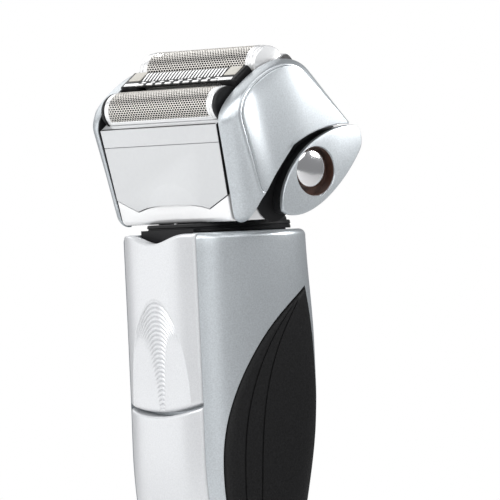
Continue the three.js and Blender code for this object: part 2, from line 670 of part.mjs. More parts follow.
place(shaver, "neck_bracket", "black", neckBracket());
place(shaver, "neck_collar", "rubber", neckCollar());
place(shaver, "pivot_axle", "steel", rod("x", 2, -22.8, 22.8, [PIVOT_Y, PIVOT_Z], 20));

place(head, "head_base", "gloss", narrowed(headBase()));
place(head, "cheek_left", "silver", narrowed(cheek()));
place(head, "cheek_right", "silver", narrowed(mirrorX(cheek())));
place(head, "release_button_left", "silver", narrowed(releaseButton()));
place(head, "release_button_right", "silver", narrowed(mirrorX(releaseButton())));
place(head, "pivot_cover", "silver", narrowed(hubCap(false)));
place(head, "lock_cover", "silver", narrowed(mirrorX(hubCap(true))));
place(head, "lock_knob", "gloss", narrowed(mirrorX(lockKnob())));
place(head, "side_gasket_left", "black", narrowed(sideGasket()));
place(head, "side_gasket_right", "black", narrowed(mirrorX(sideGasket())));
place(head, "drive_deck", "black", driveDeck());
place(head, "motor_stator", "steel", motorStator());
place(head, "motor_coil_left", "copper", motorCoil(1));
place(head, "motor_coil_right", "copper", motorCoil(-1));
for (const [i, name] of ["rear", "front"].entries()) {
  place(head, `armature_${name}`, "steel", armature(FOIL_Y[i]));
  place(head, `pin_spring_${name}`, "steel", pinSpring(FOIL_Y[i]));
  place(head, `${name}_foil`, "foil", foil(FOIL_Y[i]));
  place(head, `${name}_cutter`, "steel", cutterBlock(FOIL_Y[i]));
}
place(head, "cassette_frame", "gloss", narrowed(cassetteFrame()));
place(head, "middle_carrier", "black", middleCarrier());
place(head, "middle_comb", "foil", middleComb());
place(head, "middle_blade", "steel", middleBlade());

export default shaver;
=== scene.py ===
"""A cordless foil shaver, tilted head on a hand-held body, in soft studio light on a pale floor.

Lengths are in millimetres until a piece is placed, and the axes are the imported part's: +Z up the body,
-Y to the power button, +Y to the hair trimmer. Head pieces are drawn in the head's own frame, with its
origin on the pivot, +Y to the back and +Z towards the foils.
"""
import math

import bmesh
import bpy
import numpy as np
from mathutils import Matrix, Vector

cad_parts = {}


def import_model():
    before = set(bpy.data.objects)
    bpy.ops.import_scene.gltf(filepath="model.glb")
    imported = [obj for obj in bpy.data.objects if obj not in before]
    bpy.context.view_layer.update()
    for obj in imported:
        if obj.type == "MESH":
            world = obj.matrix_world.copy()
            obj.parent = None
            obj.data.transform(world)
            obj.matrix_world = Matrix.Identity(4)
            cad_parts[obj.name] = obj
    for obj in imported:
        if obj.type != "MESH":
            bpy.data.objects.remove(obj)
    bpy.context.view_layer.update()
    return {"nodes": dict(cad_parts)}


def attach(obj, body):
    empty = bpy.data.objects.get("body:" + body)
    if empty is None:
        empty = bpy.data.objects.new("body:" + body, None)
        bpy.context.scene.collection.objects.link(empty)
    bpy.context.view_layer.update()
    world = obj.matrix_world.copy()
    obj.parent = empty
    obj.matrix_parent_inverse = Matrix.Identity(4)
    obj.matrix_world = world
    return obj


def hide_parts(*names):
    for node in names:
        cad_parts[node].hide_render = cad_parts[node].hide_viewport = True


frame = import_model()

scene = bpy.context.scene

# Body
BODY_TOP = 110.0
BODY_FOOT = 4.4
SECTION_POWER = 3.0
PANEL_HALF = 15.5
PANEL_FLOOR = 15.0
PANEL_SPLIT = 67.0
COVER_LOW = 14.6
PANEL_BOW = 2.2
CONSOLE_HALF = 9.5
WALL = 2.8
RIM = 1.6
NOTCH_HALF = 11.7
NOTCH_LOW = 106.4
POCKET = (11.7, 17.1, 91.7)  # half width, depth in Y and foot of the room behind the slider
POWER_Z = 84.0
KEY_Z = {"minus": 64.5, "plus": 55.5}
WINDOW_Z = 36.0
SOCKET_Y = 6.6

# Head
PIVOT = np.array((0.0, -8.0, 123.0))
REST_TILT = math.radians(38)
CASSETTE_HALF = 25.2
CHEEK_IN = 26.2
CHEEK_OUT = 31.5
TAPER = 0.003
TAPER_FROM = 26.0
FOIL_Y = {"rear": 3.7, "front": -12.5}
FOIL_Z = 27.0
FOIL_R = 4.8
FOIL_HALF = 23.5
MESH_HALF = 21.7
MESH_COLUMNS = 39
MESH_ROWS = 27
MESH_HOLE = (0.49, 0.265)
TEETH = 25
HOOKS = 9
MIDDLE_Y = (FOIL_Y["rear"] + FOIL_Y["front"]) / 2
MIDDLE_TOP = 30.9
LOCK_AT = (-3.9, -1.4)
LOCK_WELL = 6.2
LOCK_REST = 1.0
RIM_Z = 26.1
BACK_SLOPE = 0.5094
CREASE_FROM = np.array((-13.0, 11.0))
CREASE = 0.955  # the outer face's size as a share of the cheek's
BUTTON_BACK = 30.1
LINE_Z = 21.92
FAR = 60.0


# ---- outlines ---------------------------------------------------------------------------------------------


class Pen:
    """Draws a flat outline from straight lines and Bezier curves."""

    def __init__(self, x, y):
        self.path = [np.array((x, y), float)]

    def line(self, x, y):
        self.path.append(np.array((x, y), float))
        return self

    def curve(self, *controls, steps=16):
        start = [self.path[-1]] + [np.array(c, float) for c in controls]
        for step in range(1, steps + 1):
            t = step / steps
            level = start
            while len(level) > 1:
                level = [a + (b - a) * t for a, b in zip(level, level[1:])]
            self.path.append(level[0])
        return self

    def closed(self):
        path = np.array(self.path)
        return path[:-1] if np.allclose(path[0], path[-1]) else path


def circle(cx, cy, radius, sides=72):
    angle = np.linspace(0, 2 * math.pi, sides, endpoint=False)
    return np.column_stack((cx + radius * np.cos(angle), cy + radius * np.sin(angle)))


def round_rect(cx, cy, half_width, half_height, radius, steps=8):
    corners = []
    for k, (sx, sy) in enumerate(((1, 1), (-1, 1), (-1, -1), (1, -1))):
        middle = (cx + sx * (half_width - radius), cy + sy * (half_height - radius))
        for angle in np.linspace(k * math.pi / 2, (k + 1) * math.pi / 2, steps):
            corners.append((middle[0] + radius * math.cos(angle), middle[1] + radius * math.sin(angle)))
    return np.array(corners)


def inset(path, distance):
    """A closed outline drawn in by a distance (or out, if it is negative)."""
    before = path - np.roll(path, 1, axis=0)
    after = np.roll(path, -1, axis=0) - path
    x, y = path[:, 0], path[:, 1]
    turn = np.sign(np.sum(x * np.roll(y, -1) - np.roll(x, -1) * y))
    normals = []
    for edge in (before, after):
        unit = edge / np.maximum(np.linalg.norm(edge, axis=1, keepdims=True), 1e-9)
        normals.append(np.column_stack((-unit[:, 1], unit[:, 0])) * turn)
    middle = normals[0] + normals[1]
    middle /= np.maximum(np.linalg.norm(middle, axis=1, keepdims=True), 1e-9)
    stretch = 1 / np.maximum(np.sum(middle * normals[0], axis=1, keepdims=True), 0.6)
    return path + middle * stretch * distance


# ---- solids -----------------------------------------------------------------------------------------------


def solid(points, faces):
    mesh = bpy.data.meshes.new("work")
    mesh.from_pydata([tuple(p) for p in points], [], faces)
    tidy = bmesh.new()
    tidy.from_mesh(mesh)
    bmesh.ops.remove_doubles(tidy, verts=tidy.verts, dist=1e-4)
    bmesh.ops.recalc_face_normals(tidy, faces=tidy.faces)
    tidy.to_mesh(mesh)
    tidy.free()
    made = bpy.data.objects.new("work", mesh)
    scene.collection.objects.link(made)
    return made


def loft(rings, ends=True):
    """A skin through rings of equal count, closed by a flat face at each end."""
    count = len(rings[0])
    faces = []
    for r in range(len(rings) - 1):
        for i in range(count):
            j = (i + 1) % count
            faces.append((r * count + i, r * count + j, (r + 1) * count + j, (r + 1) * count + i))
    if ends:
        faces.append(tuple(range(count)))
        faces.append(tuple((len(rings) - 1) * count + i for i in range(count)))
    return solid(np.vstack(rings), faces)


def lay(axis, path, depth):
    """Puts a flat outline at a depth along an axis."""
    column = np.full(len(path), depth)
    order = {"x": (column, path[:, 0], path[:, 1]), "y": (path[:, 0], column, path[:, 1])}
    return np.column_stack(order.get(axis, (path[:, 0], path[:, 1], column)))


def prism(axis, path, low, high, round_low=0.0, round_high=0.0, steps=5):
    """An outline pushed along an axis, its low and high edges rounded."""
    levels = [(low + round_low * (1 - math.cos(a)), round_low * (1 - math.sin(a)))
              for a in (np.linspace(0, math.pi / 2, steps) if round_low else [0])]
    levels += [(high - round_high * (1 - math.sin(a)), round_high * (1 - math.cos(a)))
               for a in (np.linspace(0, math.pi / 2, steps) if round_high else [0])]
    return loft([lay(axis, inset(path, draw) if draw else path, depth) for depth, draw in levels])


def rod(axis, radius, low, high, centre, round_low=0.0, round_high=0.0, sides=72):
    return prism(axis, circle(*centre, radius, sides), low, high, round_low, round_high)


def block(x0, x1, y0, y1, z0, z1):
    return prism("z", np.array(((x0, y0), (x1, y0), (x1, y1), (x0, y1))), z0, z1)


def boolean(made, other, operation):
    step = made.modifiers.new("step", "BOOLEAN")
    step.object = other
    step.operation = operation
    step.solver = "MANIFOLD"
    mesh = bpy.data.meshes.new_from_object(made.evaluated_get(bpy.context.evaluated_depsgraph_get()))
    made.modifiers.clear()
    made.data = mesh
    bpy.data.objects.remove(other)
    return made


def cut(made, *others):
    for other in others:
        boolean(made, other, "DIFFERENCE")
    return made


def join(made, *others):
    for other in others:
        boolean(made, other, "UNION")
    return made


def common(made, other):
    return boolean(made, other, "INTERSECT")


def warp(made, rule):
    """Moves every vertex by a rule on an array of points."""
    count = len(made.data.vertices)
    points = np.empty(count * 3)
    made.data.vertices.foreach_get("co", points)
    points = rule(points.reshape(-1, 3))
    made.data.vertices.foreach_set("co", points.ravel())
    return made


def joined(made):
    """Gathers separate solids of one piece into a single object."""
    points, faces = [], []
    for each in made:
        start = len(points)
        points += [tuple(v.co) for v in each.data.vertices]
        faces += [tuple(start + i for i in face.vertices) for face in each.data.polygons]
        bpy.data.objects.remove(each)
    return solid(points, faces)


def mirrored(made):
    warp(made, lambda p: p * (-1, 1, 1))
    made.data.flip_normals()
    return made


def narrowed(points):
    share = 1 - TAPER * (TAPER_FROM - np.minimum(points[:, 2], TAPER_FROM))
    return np.column_stack((points[:, 0] * share, points[:, 1], points[:, 2]))


def from_head(points):
    sine, cosine = math.sin(REST_TILT), math.cos(REST_TILT)
    y, z = points[:, 1], points[:, 2]
    return np.column_stack((points[:, 0], y * cosine + z * sine, z * cosine - y * sine)) + PIVOT


def place(made, name, body, material, replaces=(), in_head=False, narrow=False, edge=0.0, sharp=38):
    """Names a finished solid, moves it to its place in metres, and hangs it on its body."""
    if narrow:
        warp(made, narrowed)
    if in_head:
        warp(made, from_head)
    warp(made, lambda p: p * 0.001)
    made.name = name
    made.data.name = name
    made.data.materials.clear()
    made.data.materials.append(material)
    made.data.polygons.foreach_set("use_smooth", [True] * len(made.data.polygons))
    made.data.set_sharp_from_angle(angle=math.radians(sharp))
    if edge:
        round_off = made.modifiers.new("round", "BEVEL")
        round_off.width = edge * 0.001
        round_off.segments = 2
        round_off.limit_method = "ANGLE"
        round_off.angle_limit = math.radians(sharp)
        round_off.harden_normals = True
    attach(made, body)
    if replaces:
        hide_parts(*replaces)
    return made


# ---- the body's outer form --------------------------------------------------------------------------------


def smooth(t):
    t = np.clip(t, 0, 1)
    return t * t * (3 - 2 * t)


def half_width(z):
    return 18.5 + 3.5 * smooth(z / 60)


def back(z):
    return 15.5 + 4.5 * smooth(z / 55)


def front(z):
    return -(13.5 + 8 * smooth((z - 20) / 50) - 1.5 * smooth((z - 80) / 30))


def body_ring(z, draw=0.0, at=None, sides=240):
    at = z if at is None else at
    half = half_width(at) - draw
    high, low = back(at) - draw, front(at) + draw
    angle = 2 * math.pi * (np.arange(sides) + 0.5) / sides
    power = 2 / SECTION_POWER
    c, s = np.cos(angle), np.sin(angle)
    x = half * np.sign(c) * np.abs(c) ** power
    y = (high + low) / 2 + (high - low) / 2 * np.sign(s) * np.abs(s) ** power
    return np.column_stack((x, y, np.full(sides, z)))


def body_form(draw, low, high, pitch=4.0, sides=240):
    heights = np.linspace(low, high, max(2, int((high - low) / pitch)))
    return loft([body_ring(z, draw, sides=sides) for z in heights])


def back_y(x, z, draw=0.0):
    high, low = back(z) - draw, front(z) + draw
    half = half_width(z) - draw
    bulge = (1 - np.abs(x / half) ** SECTION_POWER) ** (1 / SECTION_POWER)
    return (high + low) / 2 + (high - low) / 2 * bulge


def side_x(y, z, draw=0.0):
    high, low = back(z) - draw, front(z) + draw
    t = np.abs((y - (high + low) / 2) / ((high - low) / 2))
    return (half_width(z) - draw) * (1 - np.minimum(t, 0.999) ** SECTION_POWER) ** (1 / SECTION_POWER)


def grip_outline(margin, steps=28):
    pen = Pen(-13 - margin * 0.5, 95 + margin * 1.6)
    pen.curve((2 + margin, 86 + margin), (13.7 + margin, 71), (13.7 + margin, 51), steps=steps)
    pen.curve((13.7 + margin, 34), (8.5 + margin, 22), (-1, 15.5 - margin), steps=steps)
    pen.curve((-8, 20 - margin), (-12.2 - margin, 30), (-14.6 - margin, 45), steps=steps)
    pen.curve((-17 - margin, 60), (-17.2 - margin, 80), (-13 - margin * 0.5, 95 + margin * 1.6), steps=steps)
    return pen.closed()


def panel_low(x, low):
    """The bowed lower edge of a rear panel."""
    return low - PANEL_BOW * (1 - (x / PANEL_HALF) ** 2)


def panel_outline(low, high, half):
    low_edge = [(x, panel_low(x, low)) for x in np.linspace(-half, half, 25)]
    return np.array(low_edge + [(half, high), (-half, high)])


# ---- materials --------------------------------------------------------------------------------------------


def material(name, colour, roughness, metallic, grain=(900, 0.03), bump=0.0, tint=0.06, coat=0.0,
             stretch=(1, 1, 1), gleam=0.5):
    """A finish with a fine grain in its colour, its roughness and, if bump is set, its relief."""
    made = bpy.data.materials.new(name)
    made.use_nodes = True
    tree = made.node_tree
    shader = tree.nodes["Principled BSDF"]
    shader.inputs["Metallic"].default_value = metallic
    shader.inputs["Specular IOR Level"].default_value = gleam
    if coat:
        shader.inputs["Coat Weight"].default_value = coat
        shader.inputs["Coat Roughness"].default_value = 0.06
    add = tree.nodes.new
    link = tree.links.new
    where = add("ShaderNodeTexCoord")
    scaled = add("ShaderNodeMapping")
    scaled.inputs["Scale"].default_value = stretch
    link(where.outputs["Object"], scaled.inputs["Vector"])
    noise = add("ShaderNodeTexNoise")
    noise.inputs["Scale"].default_value = grain[0]
    noise.inputs["Detail"].default_value = 4
    link(scaled.outputs["Vector"], noise.inputs["Vector"])
    cloud = add("ShaderNodeTexNoise")
    cloud.inputs["Scale"].default_value = 60
    link(scaled.outputs["Vector"], cloud.inputs["Vector"])
    ramp = add("ShaderNodeValToRGB")
    dark = tuple(c * (1 - tint) for c in colour)
    light = tuple(min(1, c * (1 + tint)) for c in colour)
    ramp.color_ramp.elements[0].position = 0.3
    ramp.color_ramp.elements[0].color = (*dark, 1)
    ramp.color_ramp.elements[1].position = 0.7
    ramp.color_ramp.elements[1].color = (*light, 1)
    link(noise.outputs["Fac"], ramp.inputs["Fac"])
    link(ramp.outputs["Color"], shader.inputs["Base Color"])
    spread = add("ShaderNodeMapRange")
    spread.inputs["To Min"].default_value = max(0.02, roughness - grain[1])
    spread.inputs["To Max"].default_value = roughness + grain[1]
    link(cloud.outputs["Fac"], spread.inputs["Value"])
    link(spread.outputs["Result"], shader.inputs["Roughness"])
    if bump:
        relief = add("ShaderNodeBump")
        relief.inputs["Strength"].default_value = bump
        relief.inputs["Distance"].default_value = 0.0001
        link(noise.outputs["Fac"], relief.inputs["Height"])
        link(relief.outputs["Normal"], shader.inputs["Normal"])
    return made


def materials():
    return {
        "silver": material("silver_paint", (0.56, 0.595, 0.62), 0.36, 0.75, (2600, 0.03), 0.12, 0.10),
        "bright": material("bright_lacquer", (0.68, 0.69, 0.705), 0.34, 0.5, (2600, 0.03), 0.06, 0.05),
        "gloss": material("gloss_silver", (0.86, 0.87, 0.88), 0.10, 0.92, (500, 0.02), 0.0, 0.015),
        "chrome": material("chrome", (0.9, 0.9, 0.91), 0.13, 1.0, (400, 0.015), 0.0, 0.01),
        "foil": material("foil_steel", (0.90, 0.87, 0.82), 0.34, 0.85, (1500, 0.05), 0.05, 0.05),
        "steel": material("brushed_steel", (0.68, 0.68, 0.69), 0.28, 1.0, (700, 0.06), 0.08, 0.06,
                          stretch=(1, 12, 12)),
        "dark_steel": material("dark_steel", (0.006, 0.006, 0.007), 0.6, 0.1, (700, 0.06), 0.05, 0.1,
                               gleam=0.2),
        "pearl": material("polished_silver", (0.90, 0.905, 0.91), 0.16, 0.35, (900, 0.03), 0.0, 0.012,
                          coat=0.5),
        "satin": material("satin_silver", (0.60, 0.61, 0.62), 0.24, 0.35, (900, 0.03), 0.0, 0.012, coat=0.3),
        "bright_steel": material("polished_steel", (0.93, 0.93, 0.93), 0.32, 0.9, (900, 0.04), 0.0, 0.02),
        # painted shade and painted reflection: the dark reddish brown of the lock's recess stands for its
        # shadow and a reflected thumb
        "well_shade_reflection": material("well_painted_shade_reflection", (0.07, 0.035, 0.025), 0.3, 0.1, (900, 0.05), 0.0, 0.2, coat=0.4),
        "rubber": material("grip_rubber", (0.007, 0.007, 0.0075), 0.6, 0.0, (2300, 0.06), 0.9, 0.55,
                           gleam=0.2),
        "soft_black": material("collar_rubber", (0.008, 0.008, 0.009), 0.5, 0.0, (1500, 0.05), 0.1, 0.2,
                               gleam=0.2),
        # black plastic parts, and also painted shade: the black sheets, rear foil rings, hub cores and
        # gaskets that stand for shadow in the head's gaps
        "black": material("black_plastic", (0.012, 0.012, 0.013), 0.4, 0.0, (1800, 0.05), 0.15, 0.2,
                          gleam=0.25),
        "console": material("console_black", (0.01, 0.0105, 0.012), 0.16, 0.0, (1500, 0.03), 0.0, 0.1,
                            coat=0.6),
        "beige": material("beige_plate", (0.53, 0.51, 0.46), 0.42, 0.2, (900, 0.05), 0.1, 0.05),
        "brass": material("plated_contact", (0.78, 0.62, 0.30), 0.22, 1.0, (900, 0.05), 0.05, 0.06),
        "copper": material("copper_winding", (0.55, 0.25, 0.11), 0.35, 0.9, (300, 0.05), 0.5, 0.2,
                           stretch=(1, 1, 14)),
        "board": material("circuit_green", (0.02, 0.13, 0.06), 0.3, 0.0, (400, 0.05), 0.1, 0.3),
        "cell": material("cell_sleeve", (0.06, 0.2, 0.42), 0.3, 0.0, (500, 0.05), 0.05, 0.08, coat=0.3),
        "glass": material("display_glass", (0.012, 0.014, 0.018), 0.06, 0.0, (500, 0.02), 0.0, 0.1, coat=1.0),
        "green": material("charge_lamp", (0.05, 0.45, 0.16), 0.3, 0.0, (800, 0.03), 0.0, 0.1),
        "ink": material("display_ink", (0.35, 0.42, 0.46), 0.4, 0.0, (800, 0.03), 0.0, 0.1),
    }


LOOK = materials()


# ---- body pieces ------------------------------------------------------------------------------------------


def housing():
    turn = np.linspace(0, math.pi / 2, 8)
    top = BODY_TOP - RIM * (1 - np.sin(turn))
    draws = RIM * (1 - np.cos(turn))
    rings = [body_ring(z) for z in np.linspace(BODY_FOOT, BODY_TOP - 4, 40)]
    rings += [body_ring(z, draw) for z, draw in zip(top, draws)]
    made = loft(rings)
    room = common(body_form(WALL, BODY_FOOT - 1, BODY_TOP - 1.8, 8, 80),
                  block(-FAR, FAR, -FAR, 13.3, 0, BODY_TOP))
    made = cut(made, room, prism("z", round_rect(0, -4, 13, 12.2, 5), BODY_TOP - 4, BODY_TOP + 1))
    made = cut(made, block(-NOTCH_HALF, NOTCH_HALF, 9, PANEL_FLOOR + 0.5, NOTCH_LOW, BODY_TOP + 1))
    slot = prism("y", panel_outline(COVER_LOW - 0.3, BODY_TOP + 10, PANEL_HALF + 0.28), PANEL_FLOOR, FAR)
    made = cut(made, slot)
    for side in (-1, 1):
        pocket = prism("x", grip_outline(0.32), min(0, side * FAR), max(0, side * FAR))
        made = cut(made, cut(pocket, body_form(1.6, 2, BODY_TOP + 2, 6)))
    console = prism("y", round_rect(0, 60, CONSOLE_HALF + 0.25, 40.25, 7), -FAR, 0)
    return cut(made, cut(console, body_form(1.9, 2, BODY_TOP + 2, 6)))


def grip(side):
    """A leaf-shaped pad that stands a little proud, with two fine grooves that follow its back edge."""
    edge = grip_outline(0)
    middle = np.array((-2.0, 52.0))
    rings = []
    for share in np.concatenate(([1.0], 1 - np.linspace(0, 1, 46)[1:-1] ** 1.5)):
        path = middle + (edge - middle) * share
        gap = np.linalg.norm(edge - middle, axis=1) * (1 - share)
        rise = 0.8 * np.sqrt(np.clip(1 - (1 - np.clip(gap / 1.6, 0, 1)) ** 2, 0, 1)) - 0.25
        x = side_x(path[:, 0], path[:, 1], -rise)
        rings.append(np.column_stack((x, path)))
    floor = np.column_stack((side_x(edge[:, 0], edge[:, 1], 1.3), edge))
    back_face = [np.column_stack((side_x(p[:, 0], p[:, 1], 1.3), p))
                 for p in (middle + (edge - middle) * s for s in (0.02, 0.25, 0.5, 0.75))]
    made = loft(back_face + [floor] + rings)
    for shift in (4.6, 9.6):
        made = cut(made, groove(edge, shift))
    return made if side > 0 else mirrored(made)


def groove(edge, shift):
    """A thin curved blade that follows the grip's back edge at a distance."""
    upper = edge[2:56]
    line = [(y - shift * math.sin(math.pi * min(1, max(0, (z - 15) / 78))) ** 0.7, z) for y, z in upper]
    rings = []
    for y, z in line:
        low = side_x(y, z, -0.28)
        high = side_x(y, z, -2.5)
        rings.append(np.array(((low, y - 0.2, z), (low, y + 0.2, z),
                               (high, y + 0.45, z), (high, y - 0.45, z))))
    return loft(rings)


def ripple(x, z):
    """The nested arches of the thumb rest: how far the surface lies below the panel's own."""
    low = 65.0
    arch = np.clip(1 - ((z - low) / 28.5) ** 2, 0, 1)
    half = 12.5 * np.sqrt(arch) + 1e-6
    inside = smooth((half - np.abs(x)) / 0.35) * (z < low + 28.5)
    dish = 1.25 * smooth((93.5 - z) / 27) * np.clip(1 - (x / half) ** 2, 0, 1)
    pitch, first, count = 1.166, 92.6, 24
    k = (first - z) / pitch
    for _ in range(12):
        curve = 0.10 + 0.33 * (np.clip(k, 0, count) / count) ** 2
        k = 0.5 * k + 0.5 * (first - z - curve * x**2) / pitch
    reach = 10.5 * np.exp(-np.clip(k, 0, count) / 5.5) + 3.9 - 2.6 * np.clip(k, 0, count) / count
    wave = np.clip(1 - np.abs((k - np.round(k)) / 0.26), 0, 1)
    wave *= smooth((reach - np.abs(x)) / (0.55 * reach)) * (k > -0.5) * (k < count - 0.5)
    return inside * (0.10 + dish) + inside * 0.34 * smooth(wave)


def rear_panel(low, high_edge, relief=None, pitch=0.5):
    """A rear panel with soft edges, as a fine grid that follows the body's back."""
    def spaced(length):
        near = np.array((0, 0.06, 0.15, 0.3, 0.5, 0.8, 1.2))
        between = np.linspace(1.2, length - 1.2, max(3, int((length - 2.4) / pitch)))[1:-1]
        return np.concatenate((near, between, (length - near)[::-1])) / length

    across = spaced(2 * PANEL_HALF) * 2 * PANEL_HALF - PANEL_HALF
    along = spaced(high_edge(0.0) - low)
    x = np.tile(across, (len(along), 1))
    bottom = panel_low(x, low)
    top = high_edge(x)
    z = bottom + (top - bottom) * along[:, None]
    gap = np.minimum(np.minimum(PANEL_HALF - np.abs(x), z - bottom), top - z)
    drop = 0.8 - np.sqrt(np.clip(0.64 - np.clip(0.8 - gap, 0, 0.8) ** 2, 0, 1))
    y = back_y(x, z, 0.045) - drop
    if relief:
        y -= relief(x, z)
    rows, columns = x.shape
    points = np.column_stack((x.ravel(), y.ravel(), z.ravel()))
    faces = [(r * columns + c, r * columns + c + 1, (r + 1) * columns + c + 1, (r + 1) * columns + c)
             for r in range(rows - 1) for c in range(columns - 1)]
    rim = list(range(columns))
    rim += [r * columns + columns - 1 for r in range(1, rows)]
    rim += [(rows - 1) * columns + c for c in range(columns - 2, -1, -1)]
    rim += [r * columns for r in range(rows - 2, 0, -1)]
    base = len(points)
    floor = points[rim].copy()
    floor[:, 1] = PANEL_FLOOR + 0.35
    points = np.vstack((points, floor))
    for i in range(len(rim)):
        j = (i + 1) % len(rim)
        faces.append((rim[i], base + i, base + j, rim[j]))
    faces.append(tuple(base + i for i in range(len(rim))))
    return solid(points, faces)


def slider_top(x):
    """The slider's upper edge, dipped for the fingertip."""
    return BODY_TOP - 0.1 - 1.15 * (1 + np.cos(math.pi * np.minimum(np.abs(x), 12.5) / 12.5))


def cover_top(x):
    return panel_low(x, PANEL_SPLIT - 1)


def body():
    place(housing(), "body_shell", "handle", LOOK["silver"], ["body_housing"], edge=0.25)
    place(grip(1), "side_grip_left", "handle", LOOK["rubber"], ["grip_left"])
    place(grip(-1), "side_grip_right", "handle", LOOK["rubber"], ["grip_right"])
    cover = rear_panel(COVER_LOW, cover_top)
    place(cover, "rear_panel", "handle", LOOK["bright"], ["rear_cover"])
    slider = rear_panel(PANEL_SPLIT, slider_top, ripple, pitch=0.17)
    half, deep, low = POCKET
    slider = cut(slider, block(-half, half, PANEL_FLOOR, deep, low, BODY_TOP + 1))
    place(slider, "trimmer_panel", "trimmer", LOOK["bright"], ["trimmer_slider"], sharp=60)


def console():
    made = prism("y", round_rect(0, 60, CONSOLE_HALF, 40, 6.7, 16), -FAR, 0)
    made = common(made, cut(body_form(-0.25, 2, BODY_TOP), body_form(1.6, 1, BODY_TOP + 1)))
    made = cut(made, rod("y", 7.45, -FAR, 0, (0, POWER_Z)))
    for z in KEY_Z.values():
        made = cut(made, prism("y", round_rect(0, z, 4.85, 2.85, 2.6), -FAR, 0))
    made = cut(made, prism("y", round_rect(0, WINDOW_Z, 6.2, 9.2, 2.7), -FAR, 0))
    place(made, "console_plate", "handle", LOOK["console"], ["front_console"], edge=0.15)


def power_button():
    face = front(POWER_Z)
    made = rod("y", 7.2, face - 0.9, face + 0.7, (0, POWER_Z), round_low=0.5)
    dish = rod("y", 5.0, face - 3, face - 0.55, (0, POWER_Z), round_high=0.3)
    place(cut(made, dish), "power_ring", "power", LOOK["gloss"], ["power_button"])
    cap = rod("y", 4.75, face - 0.8, face - 0.5, (0, POWER_Z), round_low=0.15)
    place(cap, "power_cap", "power", LOOK["bright"])
    arc = [(2.3 * math.sin(a), POWER_Z + 2.3 * math.cos(a)) for a in np.linspace(0.6, 2 * math.pi - 0.6, 40)]
    mark = ribbon(arc, 0.28, face - 0.86, face - 0.7)
    place(mark, "power_mark_arc", "power", LOOK["black"])
    bar = prism("y", round_rect(0, POWER_Z + 1.9, 0.28, 1.4, 0.27), face - 0.86, face - 0.7)
    place(bar, "power_mark_bar", "power", LOOK["black"])


def ribbon(path, half, low, high):
    """A flat strip in (x, z) that follows a path, from low to high in Y."""
    path = np.array(path)
    along = np.gradient(path, axis=0)
    along /= np.linalg.norm(along, axis=1, keepdims=True)
    across = np.column_stack((-along[:, 1], along[:, 0])) * half
    rings = []
    for a, b in zip(path - across, path + across):
        rings.append(np.array(((a[0], low, a[1]), (b[0], low, b[1]), (b[0], high, b[1]), (a[0], high, a[1]))))
    return loft(rings)


def keys():
    for name, z in KEY_Z.items():
        face = front(z)
        made = prism("y", round_rect(0, z, 4.6, 2.6, 2.5), face - 0.7, face + 0.7, round_low=0.35)
        place(made, f"{name}_button", name, LOOK["bright"], [f"{name}_key"])
        bar = prism("y", round_rect(0, z, 1.3, 0.22, 0.2), face - 0.76, face - 0.6)
        place(bar, f"{name}_bar", name, LOOK["black"])
        if name == "plus":
            post = prism("y", round_rect(0, z, 0.22, 1.3, 0.2), face - 0.77, face - 0.6)
            place(post, "plus_post", name, LOOK["black"])


def display():
    made = prism("y", round_rect(0, WINDOW_Z, 6, 9, 2.5, 12), -FAR, 0)
    made = common(made, cut(body_form(-0.3, 2, BODY_TOP), body_form(1.2, 1, BODY_TOP + 1)))
    place(made, "display_pane", "handle", LOOK["glass"], ["display_window"], edge=0.12)
    for step in range(5):
        z = WINDOW_Z - 4.2 + step * 1.7
        bar = prism("y", round_rect(0, z, 2.2, 0.55, 0.3), front(z) - 0.34, front(z) + 0.3)
        place(bar, f"charge_bar_{step + 1}", "handle", LOOK["green" if step == 0 else "ink"])
    z = WINDOW_Z + 5.6
    drop = (Pen(0, z + 1.5).curve((0.6, z + 0.5), (1.2, z - 0.2), (0, z - 0.9))
            .curve((-1.2, z - 0.2), (-0.6, z + 0.5), (0, z + 1.5)))
    place(prism("y", drop.closed(), front(z) - 0.34, front(z) + 0.3), "drop_mark", "handle",
          LOOK["ink"])


def bottom():
    rings = [body_ring(2.0 * (1 - math.cos(a)), 2.4 * (1 - math.sin(a)), 0)
             for a in np.linspace(0, math.pi / 2, 8)]
    rings.append(body_ring(BODY_FOOT - 0.3))
    made = loft(rings)
    made = cut(made, prism("z", round_rect(0, SOCKET_Y, 5.2, 3.2, 2.6), -1, 10))
    for side in (-1, 1):
        made = cut(made, rod("z", 2.2, -1, 2.6, (side * 13, 0)), rod("z", 2.1, -1, 1.2, (side * 5.5, -6)))
    place(made, "end_cap", "handle", LOOK["black"], ["bottom_cap"], edge=0.2)


